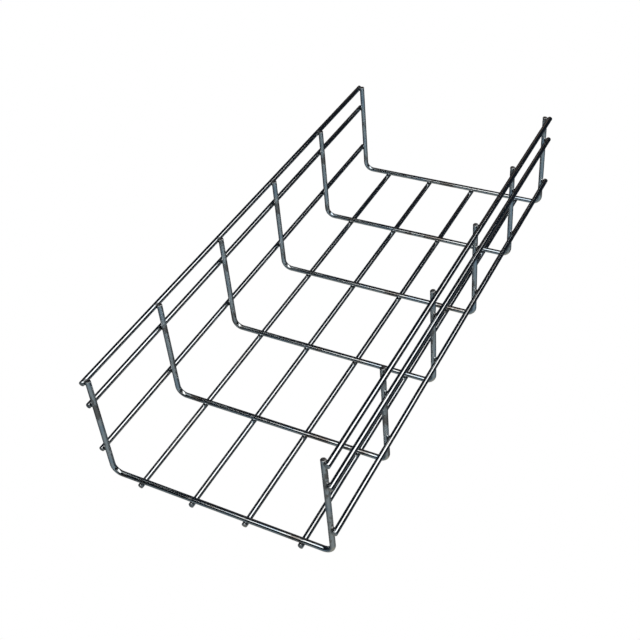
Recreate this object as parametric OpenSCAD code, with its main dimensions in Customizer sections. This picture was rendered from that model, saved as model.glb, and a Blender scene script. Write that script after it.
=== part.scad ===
// Wire mesh cable basket: a straight section of cable tray welded from round steel wire.
// U-shaped cross wires stand in planes across the run. Straight line wires run along
// the outside of them, under the floor and along both sides, and are resistance-welded
// at every crossing.
// Frame: X across the tray, Y along the run, Z up. The origin lies midway along the tray,
// on its centre line, at the underside of the bottom line wires.

/* [Tray] */
// Clear width between the two sides
inner_width = 200; // [150:1:300]
// Number of cross wires along the run
cross_count = 6; // [2:1:9]
// Distance between neighbouring cross wires
cross_pitch = 100; // [50:1:150]

/* [Floor] */
// Distance between neighbouring line wires under the floor
floor_pitch = 50; // [30:1:60]

/* [Sides] */
// Height of the lowest side wire's axis above the cross wires' axis in the floor
low_rise = 27.3; // [22:0.1:45]
// Distance from the lowest side wire up to the middle one
mid_rise = 50; // [20:1:80]
// Distance from the middle side wire up to the top one
top_rise = 24; // [10:1:60]
// How far each leg's cut end stands above the top wire's axis
leg_over = 2.5; // [0:0.1:10]

/* [Wire] */
// Diameter of the cross wires
cross_d = 4.8; // [3:0.1:6]
// Diameter of the line wires
line_d = 4.8; // [3:0.1:6]
// Radius at the inside of each bend in the cross wires
bend_r = 6; // [5:0.5:15]
// How far the two wires are pressed into each other at a weld
weld_set = 0.5; // [0.1:0.05:1]
// How far each line wire runs past the axis of the outermost cross wire
end_stub = 3.5; // [2:0.5:50]

/* [Hidden] */
$fn = 48;

LEVELS = ["low", "mid", "top"];
SIDES = ["left", "right"];

cross_r = cross_d / 2;
line_r = line_d / 2;
// Distance between the axes of two wires where they cross
cross_gap = cross_r + line_r - weld_set;
bend_axis_r = bend_r + cross_r;

// Heights of the wires' axes above the floor that the tray stands on
floor_line_z = line_r;
cross_z = floor_line_z + cross_gap;
level_z = [cross_z + low_rise, cross_z + low_rise + mid_rise, cross_z + low_rise + mid_rise + top_rise];
leg_top_z = level_z[2] + leg_over;

// Distances of the wires' axes from the centre line, and of the start of each bend
leg_x = inner_width / 2 + cross_r;
side_line_x = leg_x + cross_gap;
bend_x = leg_x - bend_axis_r;
bend_z = cross_z + bend_axis_r;

// As many floor wires as the flat stretch between the bends has room for
floor_count = floor((2 * bend_x - line_d) / floor_pitch) + 1;

run_length = (cross_count - 1) * cross_pitch + 2 * end_stub;

function cross_y(i) = (i - (cross_count + 1) / 2) * cross_pitch;
function floor_x(i) = (i - (floor_count + 1) / 2) * floor_pitch;

// A straight line wire with its axis at x, z.
module line_wire(x, z) {
    translate([x, 0, z])
        rotate([90, 0, 0])
            cylinder(h = run_length, r = line_r, center = true);
}

// All the line wires that the cross wires are welded to.
module line_wires() {
    for (i = [1:floor_count])
        line_wire(floor_x(i), floor_line_z);
    for (side = [-1, 1], z = level_z)
        line_wire(side * side_line_x, z);
}

// One half of a cross wire's U in the XZ plane: half the floor run, the bend and the leg.
module half_u() {
    translate([0, 0, cross_z])
        rotate([0, 90, 0])
            cylinder(h = bend_x, r = cross_r);
    translate([bend_x, 0, bend_z])
        rotate([90, 0, 0])
            rotate([0, 0, -90])
                rotate_extrude(angle = 90)
                    translate([bend_axis_r, 0])
                        circle(r = cross_r);
    translate([leg_x, 0, bend_z])
        cylinder(h = leg_top_z - bend_z, r = cross_r);
}

// The i-th cross wire, with a shallow seat pressed into it at each weld.
module cross_wire(i) {
    color("lightslategray")
        difference() {
            translate([0, cross_y(i), 0]) {
                half_u();
                mirror([1, 0, 0])
                    half_u();
            }
            line_wires();
        }
}

module floor_wire(i) {
    color("silver")
        line_wire(floor_x(i), floor_line_z);
}

// A side wire on the left (0) or the right (1), at one of the three levels.
module side_wire(side, level) {
    color("silver")
        line_wire((2 * side - 1) * side_line_x, level_z[level]);
}

for (i = [1:cross_count])
    cross_wire(i);
for (i = [1:floor_count])
    floor_wire(i);
for (side = [0, 1], level = [0:2])
    side_wire(side, level);
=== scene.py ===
"""Wire mesh cable basket: a section of cable tray welded from round zinc-plated wire.

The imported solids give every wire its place. Each wire is swept again here as drawn,
bent, sheared and plated wire, and the welds at the crossings are added between them.
"""
import math

import bpy
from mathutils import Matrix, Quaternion, Vector


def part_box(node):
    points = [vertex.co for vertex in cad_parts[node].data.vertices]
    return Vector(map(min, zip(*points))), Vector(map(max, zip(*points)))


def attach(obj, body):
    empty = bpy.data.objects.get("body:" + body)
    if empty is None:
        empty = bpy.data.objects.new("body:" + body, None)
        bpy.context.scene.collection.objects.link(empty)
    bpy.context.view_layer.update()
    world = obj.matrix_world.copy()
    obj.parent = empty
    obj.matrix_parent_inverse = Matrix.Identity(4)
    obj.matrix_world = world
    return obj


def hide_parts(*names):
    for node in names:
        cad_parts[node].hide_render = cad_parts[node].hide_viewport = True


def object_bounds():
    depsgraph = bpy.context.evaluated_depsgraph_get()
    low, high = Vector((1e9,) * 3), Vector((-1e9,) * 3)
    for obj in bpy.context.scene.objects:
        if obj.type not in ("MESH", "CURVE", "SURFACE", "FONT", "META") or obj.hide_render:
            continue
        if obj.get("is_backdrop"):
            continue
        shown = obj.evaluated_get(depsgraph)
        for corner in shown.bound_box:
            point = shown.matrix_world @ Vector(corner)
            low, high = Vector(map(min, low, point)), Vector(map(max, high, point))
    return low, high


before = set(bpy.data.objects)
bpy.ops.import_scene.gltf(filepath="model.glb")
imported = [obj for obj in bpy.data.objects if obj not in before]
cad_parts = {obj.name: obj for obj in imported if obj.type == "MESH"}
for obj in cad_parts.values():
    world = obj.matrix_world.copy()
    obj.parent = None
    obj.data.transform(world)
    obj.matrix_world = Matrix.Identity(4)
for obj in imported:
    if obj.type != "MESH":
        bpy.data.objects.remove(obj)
cad_low, cad_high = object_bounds()


# ---------------------------------------------------------------------------
# The crossings. Resistance welding presses each straight line wire into the
# outside of every U-shaped cross wire, so each crossing is one small contact
# patch that faces outwards from the tray. The patches are gathered here as
# loose vertices, because the wires' finish and the weld metal both follow them.
# ---------------------------------------------------------------------------
CROSS_WIRES = sorted(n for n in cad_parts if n.startswith("cross_wire"))
FLOOR_WIRES = sorted(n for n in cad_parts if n.startswith("floor_wire"))
SIDE_WIRES = sorted(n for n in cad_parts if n.startswith("side_wire"))
LINE_WIRES = FLOOR_WIRES + SIDE_WIRES

LEFT, RIGHT, DOWN = Vector((-1, 0, 0)), Vector((1, 0, 0)), Vector((0, 0, -1))
ALONG_TRAY = Vector((0, 1, 0))


def middle_of(node):
    """The middle of a wire's box, which on a straight wire is midway along its axis."""
    low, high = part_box(node)
    return (low + high) / 2


def outwards(node):
    """The way in which a line wire stands off from the cross wires."""
    if node in FLOOR_WIRES:
        return DOWN
    return LEFT if middle_of(node).x < 0 else RIGHT


line_low, line_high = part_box(FLOOR_WIRES[0])
wire_radius = (line_high.x - line_low.x) / 2
# The weld sinks the two wires into each other by this much, half of it in each.
set_down = 0.0005
contact_depth = wire_radius - set_down / 2


def make_crossings():
    spots, facing = [], []
    for cross_wire in CROSS_WIRES:
        station = middle_of(cross_wire).y
        for line_wire in LINE_WIRES:
            centre, out = middle_of(line_wire), outwards(line_wire)
            spots.append(Vector((centre.x, station, centre.z)) - out * contact_depth)
            facing.extend(out)
    mesh = bpy.data.meshes.new("crossings")
    mesh.from_pydata(spots, [], [])
    mesh.attributes.new("facing", "FLOAT_VECTOR", "POINT")
    mesh.attributes["facing"].data.foreach_set("vector", facing)
    return bpy.data.objects.new("crossings", mesh)


crossings = make_crossings()


# ---------------------------------------------------------------------------
# Zinc on drawn wire. The wire is bright from the drawing die, with faint lines
# along it, and its electroplated zinc is passivated clear with a blue cast.
# Near the welds, and on the bent cross wires, the film is duller and browner.
# ---------------------------------------------------------------------------
class Strand:
    """A value on its way through a node tree, so that maths reads as plain arithmetic."""

    def __init__(self, maker, socket):
        self.maker, self.socket = maker, socket

    def maths(self, operation, *others):
        """A Math node with this value first and the others after it."""
        return self.maker.maths(operation, self, *others)

    def __add__(self, other):
        return self.maths("ADD", other)

    def __radd__(self, other):
        return self.maths("ADD", other)

    def __sub__(self, other):
        return self.maths("SUBTRACT", other)

    def __rsub__(self, other):
        return self.maker.maths("SUBTRACT", other, self)

    def __mul__(self, other):
        return self.maths("MULTIPLY", other)

    def __truediv__(self, other):
        return self.maths("DIVIDE", other)

    def __pow__(self, other):
        return self.maths("POWER", other)


class NodeMaker:
    """Adds nodes to a tree: the type, then its settings, then its sockets' values or links."""

    def __init__(self, node_tree):
        self.node_tree = node_tree

    def add(self, kind, settings=None, sockets=None):
        """Adds one node and returns its outputs by name, without those switched off."""
        node = self.node_tree.nodes.new(kind)
        for name, value in (settings or {}).items():
            setattr(node, name, value)
        for key, value in (sockets or {}).items():
            socket = self.find_socket(node, key)
            if isinstance(value, Strand):
                self.node_tree.links.new(value.socket, socket)
            else:
                socket.default_value = value
        return {s.name: Strand(self, s) for s in node.outputs if s.enabled}

    @staticmethod
    def find_socket(node, key):
        if isinstance(key, int):
            return node.inputs[key]
        return next(s for s in node.inputs if s.enabled and key in (s.name, s.identifier))

    def maths(self, operation, *values):
        settings = {"operation": operation}
        return self.add("ShaderNodeMath", settings, dict(enumerate(values)))["Value"]


def noise(maker, vector, scale, detail, roughness):
    settings = {"noise_dimensions": "3D"}
    sockets = {"Vector": vector, "Scale": scale, "Detail": detail, "Roughness": roughness}
    return maker.add("ShaderNodeTexNoise", settings, sockets)["Fac"]


def stretch(maker, lay, along):
    """Wire coordinates that pass more slowly along the wire, which draws a pattern out."""
    sockets = {"Vector": lay, "Scale": (1.0, 1.0, along)}
    return maker.add("ShaderNodeMapping", {"vector_type": "POINT"}, sockets)["Vector"]


def attribute(maker, name):
    return maker.add("ShaderNodeAttribute", {"attribute_name": name})


def ramp(maker, value, low, high, result_low=0.0, result_high=1.0):
    """A smooth step from result_low where value is low to result_high where it is high."""
    sockets = {
        "Value": value,
        "From Min": low,
        "From Max": high,
        "To Min": result_low,
        "To Max": result_high,
    }
    return maker.add("ShaderNodeMapRange", {"interpolation_type": "SMOOTHSTEP"}, sockets)["Result"]


def opaque(colour):
    return colour if isinstance(colour, Strand) else (*colour, 1.0)


def blend_colour(maker, mask, first, second):
    """The first colour where mask is 0 and the second where it is 1."""
    sockets = {"Factor_Float": mask, "A_Color": opaque(first), "B_Color": opaque(second)}
    return maker.add("ShaderNodeMix", {"data_type": "RGBA"}, sockets)["Result"]


def zinc_plated(name, bright, blue, brown, stain, roughness):
    """Electroplated zinc over drawn wire. stain is how strongly its film turns blue and brown."""
    scorched, sheared_steel, cover = (0.10, 0.105, 0.11), (0.50, 0.50, 0.49), 0.8
    unevenness, relief_height = 0.08, 0.00001

    material = bpy.data.materials.new(name)
    material.use_nodes = True
    material.node_tree.nodes.clear()
    maker = NodeMaker(material.node_tree)
    lay = attribute(maker, "lay")["Vector"]
    weld = attribute(maker, "weld")["Fac"]
    cut = attribute(maker, "cut")["Fac"]

    # Marks along the wire are long and narrow; the film's patches are a few wire widths long.
    die_lines = noise(maker, stretch(maker, lay, 0.02), scale=3200.0, detail=3.0, roughness=0.6)
    patches = noise(maker, stretch(maker, lay, 0.45), scale=75.0, detail=3.0, roughness=0.55)
    flecks = noise(maker, stretch(maker, lay, 0.4), scale=620.0, detail=3.0, roughness=0.6)
    grain = noise(maker, lay, scale=1500.0, detail=2.0, roughness=0.5)
    speckle = flecks - 0.5

    # The film is blue where the tone is low, brown where it is high, and clear between.
    tone = patches + speckle * 0.35
    blue_film = ramp(maker, tone, low=0.50, high=0.38) * stain
    brown_film = ramp(maker, tone, low=0.53, high=0.62) * stain
    scorch = ramp(maker, weld + speckle * 0.6, low=0.30, high=0.85)
    colour = blend_colour(maker, blue_film, bright, blue)
    colour = blend_colour(maker, brown_film, colour, brown)
    colour = blend_colour(maker, scorch * cover, colour, scorched)
    colour = blend_colour(maker, cut * cover, colour, sheared_steel)

    dullness = roughness + (die_lines - 0.5) * unevenness + speckle * unevenness * stain
    dullness = dullness + brown_film * 0.10 + scorch * 0.20 + cut * 0.16

    # Welds and sheared ends are grainier than the drawn skin.
    relief = die_lines * 0.35 + grain * 0.25 + (weld + cut) * grain * 1.5
    bump = maker.add(
        "ShaderNodeBump", None, {"Strength": 0.35, "Distance": relief_height, "Height": relief}
    )["Normal"]
    shader = maker.add(
        "ShaderNodeBsdfPrincipled",
        None,
        {"Base Color": colour, "Metallic": 1.0, "Roughness": dullness, "Normal": bump},
    )["BSDF"]
    maker.add("ShaderNodeOutputMaterial", None, {"Surface": shader})
    return material


line_zinc = zinc_plated(
    "zinc_plated_line_wire",
    bright=(0.70, 0.715, 0.72),
    blue=(0.58, 0.63, 0.67),
    brown=(0.50, 0.47, 0.44),
    stain=0.45,
    roughness=0.09,
)
cross_zinc = zinc_plated(
    "zinc_plated_cross_wire",
    bright=(0.68, 0.71, 0.71),
    blue=(0.50, 0.60, 0.68),
    brown=(0.28, 0.245, 0.22),
    stain=0.9,
    roughness=0.13,
)


# ---------------------------------------------------------------------------
# Drawn wire. One tree sweeps a wire of any route: it rounds the corners of the
# route to the bend radius, wanders a little as straightened wire does, shears
# the ends, and flattens the spots where the welding electrodes pressed.
# ---------------------------------------------------------------------------
bend_radius = 0.0084
wire_sides = 28
ring_spacing = 0.0012
end_rings = 8
wander = 0.0003
merge_distance = 0.00001


def new_tree(name, inputs):
    """A Geometry Nodes tree with named inputs, its maker, and the inputs as strands."""
    tree = bpy.data.node_groups.new(name, "GeometryNodeTree")
    for label, kind in inputs.items():
        tree.interface.new_socket(label, in_out="INPUT", socket_type=kind)
    tree.interface.new_socket("Geometry", in_out="OUTPUT", socket_type="NodeSocketGeometry")
    maker = NodeMaker(tree)
    return tree, maker, maker.add("NodeGroupInput")


def unrolled_skin(maker, rings, sides):
    """A grid for an unrolled skin, and each point's share of the way along it and round it."""
    grid = maker.add(
        "GeometryNodeMeshGrid",
        None,
        {"Size X": 1.0, "Size Y": 1.0, "Vertices X": rings + 1, "Vertices Y": sides + 1},
    )
    position = maker.add("GeometryNodeInputPosition")["Position"]
    place = maker.add("ShaderNodeSeparateXYZ", None, {"Vector": position})
    return grid, place["X"] + 0.5, place["Y"] + 0.5


def vector_maths(maker, operation, *values):
    settings = {"operation": operation}
    return maker.add("ShaderNodeVectorMath", settings, dict(enumerate(values)))


def scaled(maker, vector, factor):
    sockets = {"Vector": vector, "Scale": factor}
    return maker.add("ShaderNodeVectorMath", {"operation": "SCALE"}, sockets)["Vector"]


def added(maker, first, second):
    return vector_maths(maker, "ADD", first, second)["Vector"]


def vector_of(maker, x, y, z):
    return maker.add("ShaderNodeCombineXYZ", None, {"X": x, "Y": y, "Z": z})["Vector"]


def wobble(maker, place, seed, scale, detail, reach):
    """A smooth random offset, up to about half of reach each way."""
    settings = {"noise_dimensions": "4D"}
    sockets = {"Vector": place, "W": seed, "Scale": scale, "Detail": detail}
    offset = maker.add("ShaderNodeTexNoise", settings, sockets)["Color"]
    offset = vector_maths(maker, "SUBTRACT", offset, (0.5, 0.5, 0.5))["Vector"]
    return scaled(maker, offset, reach)


def facing_of(maker):
    """The way each crossing faces."""
    settings = {"data_type": "FLOAT_VECTOR"}
    return maker.add("GeometryNodeInputNamedAttribute", settings, {"Name": "facing"})["Attribute"]


def distance_to(maker, points, place):
    sockets = {"Target": points, "Source Position": place}
    return maker.add("GeometryNodeProximity", {"target_element": "POINTS"}, sockets)["Distance"]


def store(maker, geometry, name, value, kind="FLOAT", domain="POINT"):
    settings = {"data_type": kind, "domain": domain}
    sockets = {"Geometry": geometry, "Name": name, "Value": value}
    return maker.add("GeometryNodeStoreNamedAttribute", settings, sockets)["Geometry"]


def close_seams(maker, geometry):
    """Joins the grid's edges where they meet, and each end's last ring into one point."""
    sockets = {"Geometry": geometry, "Distance": merge_distance}
    return maker.add("GeometryNodeMergeByDistance", {"mode": "ALL"}, sockets)["Geometry"]


def finish_tree(maker, geometry, material):
    for kind in ("GeometryNodeSetShadeSmooth", "GeometryNodeRealizeInstances"):
        geometry = maker.add(kind, None, {"Geometry": geometry})["Geometry"]
    sockets = {"Geometry": geometry, "Material": material}
    geometry = maker.add("GeometryNodeSetMaterial", None, sockets)["Geometry"]
    maker.add("NodeGroupOutput", None, {"Geometry": geometry})


def wire_tree():
    tree, maker, given = new_tree(
        "drawn_wire",
        {
            "Geometry": "NodeSocketGeometry",
            "Wire Radius": "NodeSocketFloat",
            "Bend Radius": "NodeSocketFloat",
            "Ring Spacing": "NodeSocketFloat",
            "Sides": "NodeSocketInt",
            "End Rings": "NodeSocketInt",
            "Wander": "NodeSocketFloat",
            "Seed": "NodeSocketFloat",
            "Sideways": "NodeSocketVector",
            "Electrode Offset": "NodeSocketFloat",
            "Crossings": "NodeSocketObject",
            "Material": "NodeSocketMaterial",
        },
    )
    radius, seed, sideways = given["Wire Radius"], given["Seed"], given["Sideways"]

    # The route, with its corners rounded in steps finer than the rings.
    bend_steps, route_step = 24, 0.0008
    route = maker.add("GeometryNodeMeshToCurve", None, {"Mesh": given["Geometry"]})["Curve"]
    route = maker.add(
        "GeometryNodeFilletCurve",
        {"mode": "POLY"},
        {
            "Curve": route,
            "Count": bend_steps,
            "Radius": given["Bend Radius"],
            "Limit Radius": True,
        },
    )["Curve"]
    route = maker.add(
        "GeometryNodeResampleCurve",
        {"mode": "LENGTH", "keep_last_segment": True},
        {"Curve": route, "Length": route_step},
    )["Curve"]
    length = maker.add("GeometryNodeCurveLength", None, {"Curve": route})["Length"]
    rings = (length / given["Ring Spacing"]).maths("ROUND")

    # The wire's skin, unrolled, is rings long and goes once round the wire.
    skin, along, round_wire = unrolled_skin(maker, rings, given["Sides"])
    ring = along * rings
    turn = round_wire * (2 * math.pi)
    across, beside = turn.maths("COSINE"), turn.maths("SINE")

    # Sheared ends: the last rings close over a blunt, slightly domed face. It leans a
    # little, each wire's its own way, and the lean fades out over the next few rings.
    blunt, lean, fading_rings = 0.2, 0.09, 3.0
    from_end = ring.maths("MINIMUM", rings - ring)
    closing = (from_end / given["End Rings"]).maths("MINIMUM", 1.0)
    rounding = closing * (math.pi / 2)
    ring_radius = radius * rounding.maths("SINE") ** blunt
    dome = radius * (1.0 - rounding.maths("COSINE").maths("MAXIMUM", 0.0) ** blunt)
    step = (length - radius * 2.0) / (rings - given["End Rings"] * 2.0)
    plain_rings = (from_end - given["End Rings"]).maths("MAXIMUM", 0.0)
    slant = (radius + ring_radius * (turn + seed).maths("SINE")) * lean
    slant = slant * ramp(maker, plain_rings, fading_rings, 0.0)
    depth = dome + plain_rings * step + slant
    far_half = ring.maths("GREATER_THAN", rings * 0.5)
    run = depth + far_half * (length - depth * 2.0)

    # Sweep the skin round the route.
    sample = maker.add(
        "GeometryNodeSampleCurve",
        {"mode": "LENGTH", "use_all_curves": False, "data_type": "FLOAT"},
        {"Curves": route, "Length": run},
    )
    outward = vector_maths(maker, "CROSS_PRODUCT", sideways, sample["Tangent"])["Vector"]
    outward = vector_maths(maker, "NORMALIZE", outward)["Vector"]
    radial = added(maker, scaled(maker, outward, across), scaled(maker, sideways, beside))
    drift = wobble(
        maker, sample["Position"], seed, scale=11.0, detail=1.0, reach=given["Wander"]
    )
    centre = added(maker, sample["Position"], drift)
    surface = added(maker, centre, scaled(maker, radial, ring_radius))

    # The weld, and the electrode's dent opposite it, each with the scorch round it.
    dent_depth, dent_floor, dent_rim = 0.00014, 0.0002, 0.0021
    targets = maker.add("GeometryNodeObjectInfo", None, {"Object": given["Crossings"]})["Geometry"]
    to_far_side = scaled(maker, facing_of(maker), given["Electrode Offset"])
    marks = maker.add(
        "GeometryNodeSetPosition", None, {"Geometry": targets, "Offset": to_far_side}
    )["Geometry"]
    to_weld = distance_to(maker, targets, surface)
    to_mark = distance_to(maker, marks, surface)
    pressed = ramp(maker, to_mark, dent_floor, dent_rim, result_low=dent_depth, result_high=0.0)
    surface = added(maker, surface, scaled(maker, radial, pressed * -1.0))
    weld_scorch = ramp(maker, to_weld, 0.0016, 0.0042, result_low=1.0, result_high=0.0)
    mark_scorch = ramp(maker, to_mark, 0.0010, 0.0024, result_low=0.7, result_high=0.0)

    # What the finish reads: a place on the wire as if it were straight, the cut face, the welds.
    lay = vector_of(maker, across * radius, beside * radius, run + seed)
    cut = ramp(maker, closing, 0.35, 0.75, result_low=1.0, result_high=0.0)
    wire = store(maker, skin["Mesh"], "UVMap", skin["UV Map"], "FLOAT2", "CORNER")
    wire = store(maker, wire, "lay", lay, "FLOAT_VECTOR")
    wire = store(maker, wire, "cut", cut)
    wire = store(maker, wire, "weld", weld_scorch.maths("MAXIMUM", mark_scorch))

    wire = maker.add(
        "GeometryNodeSetPosition", None, {"Geometry": wire, "Position": surface}
    )["Geometry"]
    wire = maker.add("GeometryNodeFlipFaces", None, {"Mesh": wire})["Mesh"]
    finish_tree(maker, close_seams(maker, wire), given["Material"])
    return tree


def grow(name, mesh, tree, values):
    """Runs a tree on a mesh and returns the result as a plain object with no modifier."""
    seedling = bpy.data.objects.new(name + "_start", mesh)
    bpy.context.collection.objects.link(seedling)
    modifier = seedling.modifiers.new("grow", "NODES")
    modifier.node_group = tree
    for item in tree.interface.items_tree:
        if item.in_out == "INPUT" and item.name in values:
            modifier[item.identifier] = values[item.name]
    depsgraph = bpy.context.evaluated_depsgraph_get()
    grown = bpy.data.meshes.new_from_object(
        seedling.evaluated_get(depsgraph), depsgraph=depsgraph
    )
    bpy.data.objects.remove(seedling)
    piece = bpy.data.objects.new(name, grown)
    grown.name = name
    bpy.context.collection.objects.link(piece)
    return piece


drawn_wire = wire_tree()


def draw_wire(node, corners, sideways, electrode_offset, material, seed):
    """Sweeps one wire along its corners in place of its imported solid."""
    route = bpy.data.meshes.new(node + "_route")
    route.from_pydata(corners, [(i, i + 1) for i in range(len(corners) - 1)], [])
    values = {
        "Wire Radius": wire_radius,
        "Bend Radius": bend_radius,
        "Ring Spacing": ring_spacing,
        "Sides": wire_sides,
        "End Rings": end_rings,
        "Wander": wander,
        "Seed": float(seed),
        "Sideways": tuple(sideways),
        "Electrode Offset": electrode_offset,
        "Crossings": crossings,
        "Material": material,
    }
    wire = grow(node + "_plated", route, drawn_wire, values)
    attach(wire, "root")
    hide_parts(node)
    return wire


# ---------------------------------------------------------------------------
# Line wires: straight wire under the floor and outside both sides, cut to the
# length of the tray. They lie outside the cross wires, so the electrode marks
# are on their outward faces.
# ---------------------------------------------------------------------------
for number, node in enumerate(LINE_WIRES):
    low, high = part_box(node)
    middle = middle_of(node)
    wire = draw_wire(
        node,
        [Vector((middle.x, y, middle.z)) for y in (low.y, high.y)],
        sideways=ALONG_TRAY.cross(outwards(node)),
        electrode_offset=2 * wire_radius,
        material=line_zinc,
        seed=3.7 * number + 1.0,
    )


# ---------------------------------------------------------------------------
# Cross wires: wire bent twice to a U, welded inside the line wires, its legs
# cut off level with the top side wires. The electrodes mark their inner faces.
# ---------------------------------------------------------------------------
for number, node in enumerate(CROSS_WIRES):
    low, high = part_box(node)
    station = middle_of(node).y
    left_leg, right_leg = low.x + wire_radius, high.x - wire_radius
    floor_run = low.z + wire_radius
    wire = draw_wire(
        node,
        [
            Vector((left_leg, station, high.z)),
            Vector((left_leg, station, floor_run)),
            Vector((right_leg, station, floor_run)),
            Vector((right_leg, station, high.z)),
        ],
        sideways=ALONG_TRAY,
        electrode_offset=-2 * wire_radius,
        material=cross_zinc,
        seed=5.3 * number + 50.0,
    )


# ---------------------------------------------------------------------------
# Weld metal: the ring of steel squeezed out round each contact patch when the
# two wires were pressed together hot. It fills the wedge between them, so it
# dips towards one wire and rises towards the other, and no two are quite alike.
# ---------------------------------------------------------------------------
bead_sides = 10
bead_rings = 28


def weld_tree():
    tree, maker, given = new_tree(
        "weld_metal",
        {
            "Geometry": "NodeSocketGeometry",
            "Ring Radius": "NodeSocketFloat",
            "Bead Radius": "NodeSocketFloat",
            "Wire Radius": "NodeSocketFloat",
            "Roughness": "NodeSocketFloat",
            "Seed": "NodeSocketFloat",
            "Material": "NodeSocketMaterial",
        },
    )
    ring_radius, bead_radius = given["Ring Radius"], given["Bead Radius"]
    skin, round_ring, round_bead = unrolled_skin(maker, bead_rings, bead_sides)
    bearing, turn = round_ring * (2 * math.pi), round_bead * (2 * math.pi)
    reach = ring_radius + bead_radius * turn.maths("COSINE")

    # The middle of the wedge between two crossed wires is a saddle.
    saddle = ring_radius * ring_radius / (given["Wire Radius"] * -4.0)
    height = saddle * (bearing * 2.0).maths("COSINE") + bead_radius * turn.maths("SINE")
    spot = vector_of(
        maker, reach * bearing.maths("COSINE"), reach * bearing.maths("SINE"), height
    )
    bead = maker.add(
        "GeometryNodeSetPosition", None, {"Geometry": skin["Mesh"], "Position": spot}
    )["Geometry"]

    # At each crossing the ring's axis faces outwards and its Y axis runs along the tray.
    turned = maker.add(
        "FunctionNodeAxesToRotation",
        {"primary_axis": "Z", "secondary_axis": "Y"},
        {"Primary Axis": facing_of(maker), "Secondary Axis": tuple(ALONG_TRAY)},
    )["Rotation"]
    beads = maker.add(
        "GeometryNodeInstanceOnPoints",
        None,
        {"Points": given["Geometry"], "Instance": close_seams(maker, bead), "Rotation": turned},
    )["Instances"]
    beads = maker.add("GeometryNodeRealizeInstances", None, {"Geometry": beads})["Geometry"]

    where = maker.add("GeometryNodeInputPosition")["Position"]
    lumps = wobble(
        maker, where, given["Seed"], scale=520.0, detail=2.0, reach=given["Roughness"]
    )
    beads = maker.add(
        "GeometryNodeSetPosition", None, {"Geometry": beads, "Offset": lumps}
    )["Geometry"]
    beads = store(maker, beads, "lay", where, "FLOAT_VECTOR")
    beads = store(maker, beads, "weld", 1.0)
    finish_tree(maker, beads, given["Material"])
    return tree


weld_values = {
    "Ring Radius": 0.0018,
    "Bead Radius": 0.00045,
    "Wire Radius": wire_radius,
    "Roughness": 0.0005,
    "Seed": 11.0,
    "Material": cross_zinc,
}
weld_metal = grow("weld_metal", crossings.data, weld_tree(), weld_values)
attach(weld_metal, "root")
bpy.data.objects.remove(crossings)


# ---------------------------------------------------------------------------
# Studio: a plain white floor with no horizon, one large softbox over the tray
# and a small one on the camera's side. Between their reflections the wires
# mirror a grey-blue ground, dark away from the camera, and a nearly black room
# that has a brown wall at the far end.
# ---------------------------------------------------------------------------
def glowing(name, colour):
    material = bpy.data.materials.new(name)
    material.use_nodes = True
    material.node_tree.nodes.clear()
    maker = NodeMaker(material.node_tree)
    sockets = {"Color": opaque(colour), "Strength": 1.0}
    glow = maker.add("ShaderNodeEmission", None, sockets)["Emission"]
    maker.add("ShaderNodeOutputMaterial", None, {"Surface": glow})
    return material


WHITE = (1.0, 1.0, 1.0)


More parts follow.
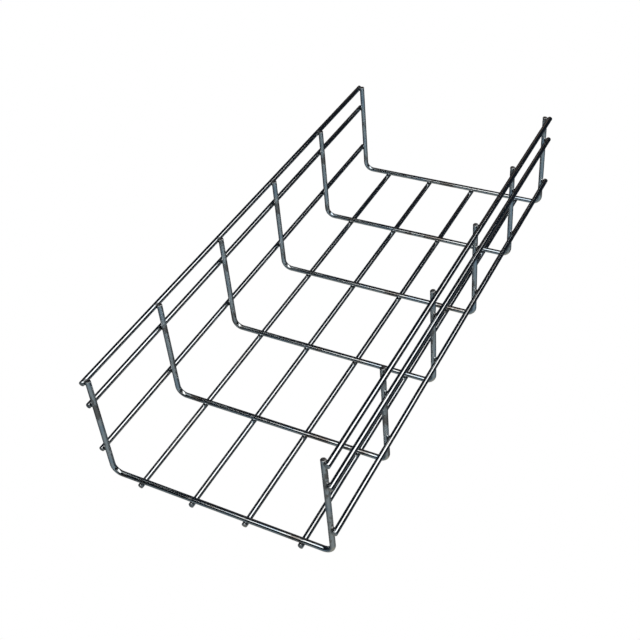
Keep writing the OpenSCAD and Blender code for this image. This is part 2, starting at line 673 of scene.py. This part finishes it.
def make_floor():
    """A white sweep just clear of the lowest wire, which the wires don't mirror."""
    half, clearance = 12.0, 0.0002
    level = cad_low.z - clearance
    ways = ((-1, -1), (1, -1), (1, 1), (-1, 1))
    mesh = bpy.data.meshes.new("studio_floor")
    mesh.from_pydata([(half * x, half * y, level) for x, y in ways], [], [(0, 1, 2, 3)])
    mesh.materials.append(glowing("white_sweep", WHITE))
    floor = bpy.data.objects.new("studio_floor", mesh)
    floor.visible_glossy = False
    floor.visible_diffuse = False
    bpy.context.collection.objects.link(floor)
    floor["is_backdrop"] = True


def make_surroundings():
    """A world that is white to the camera, and ground and room to the wires."""
    world = bpy.data.worlds.new("studio")
    bpy.context.scene.world = world
    world.use_nodes = True
    world.node_tree.nodes.clear()
    maker = NodeMaker(world.node_tree)
    direction = maker.add("ShaderNodeTexCoord")["Generated"]
    height = maker.add("ShaderNodeSeparateXYZ", None, {"Vector": direction})["Z"]

    def towards(x, y, z):
        return vector_maths(maker, "DOT_PRODUCT", direction, (x, y, z))["Value"]

    lit_side = ramp(maker, towards(0.57, -0.82, 0.0), -0.1, 0.75)
    steep = ramp(maker, height, -0.50, -0.75)
    lit_ground = blend_colour(maker, steep, (0.230, 0.290, 0.330), (0.255, 0.292, 0.312))
    far_ground = blend_colour(maker, steep, (0.024, 0.030, 0.038), (0.085, 0.100, 0.110))
    ground = blend_colour(maker, lit_side, far_ground, lit_ground)
    underfoot = ramp(maker, height, -0.74, -0.92)
    ground = blend_colour(maker, underfoot, ground, (0.345, 0.330, 0.285))

    room = blend_colour(maker, lit_side, (0.007, 0.010, 0.015), (0.003, 0.003, 0.004))
    brown_wall = ramp(maker, towards(-0.25, 0.88, 0.40), 0.955, 1.0)
    room = blend_colour(maker, brown_wall, room, (0.125, 0.098, 0.083))

    above = ramp(maker, height, -0.20, 0.0)
    mirrored = blend_colour(maker, above, ground, room)
    seen = maker.add("ShaderNodeLightPath")["Is Camera Ray"]
    colour = blend_colour(maker, seen, mirrored, WHITE)
    background = maker.add("ShaderNodeBackground", None, {"Color": colour, "Strength": 1.0})
    maker.add("ShaderNodeOutputWorld", None, {"Surface": background["Background"]})


def softbox(name, centre, facing, size, radiance):
    light = bpy.data.lights.new(name, "AREA")
    light.shape = "RECTANGLE"
    light.size, light.size_y = size
    light.energy = radiance * math.pi * size[0] * size[1]
    lamp = bpy.data.objects.new(name, light)
    lamp.location = centre
    lamp.rotation_mode = "QUATERNION"
    lamp.rotation_quaternion = facing
    lamp.visible_camera = False
    bpy.context.collection.objects.link(lamp)


make_floor()
make_surroundings()

# The large softbox hangs level over the tray's right side, turned a little from its direction.
softbox(
    "overhead_softbox",
    centre=Vector((0.36, 0.06, 1.2)),
    facing=Quaternion((0, 0, 1), math.radians(-28)),
    size=(0.88, 3.05),
    radiance=1.85,
)

# The small one, behind the camera, keeps wires seen from behind from going black.
near_side = Vector((0.62, -1.25, 1.05))
softbox(
    "near_softbox",
    centre=near_side,
    facing=(-near_side).to_track_quat("-Z", "Y"),
    size=(0.9, 0.8),
    radiance=0.8,
)


# ---------------------------------------------------------------------------
# Camera: from above the near right corner, looking down the tray.
# ---------------------------------------------------------------------------
def make_camera():
    azimuth, elevation, tilt = math.radians(31.88), math.radians(39.0), math.radians(-6.56)
    aim, distance = Vector((-0.0375, -0.0306, 0.0423)), 0.958
    back = Vector(
        (
            math.sin(azimuth) * math.cos(elevation),
            -math.cos(azimuth) * math.cos(elevation),
            math.sin(elevation),
        )
    )
    data = bpy.data.cameras.new("camera")
    data.sensor_width, data.lens = 36.0, 57.93
    data.shift_x, data.shift_y = 0.03, -0.03
    data.clip_start, data.clip_end = 0.01, 60.0
    camera = bpy.data.objects.new("camera", data)
    camera.rotation_mode = "QUATERNION"
    camera.location = aim + back * distance
    level = (-back).to_track_quat("-Z", "Y")
    camera.rotation_quaternion = level @ Quaternion((0, 0, 1), tilt)
    bpy.context.collection.objects.link(camera)
    bpy.context.scene.camera = camera


make_camera()
bpy.context.scene.view_settings.view_transform = "Standard"

low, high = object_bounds()
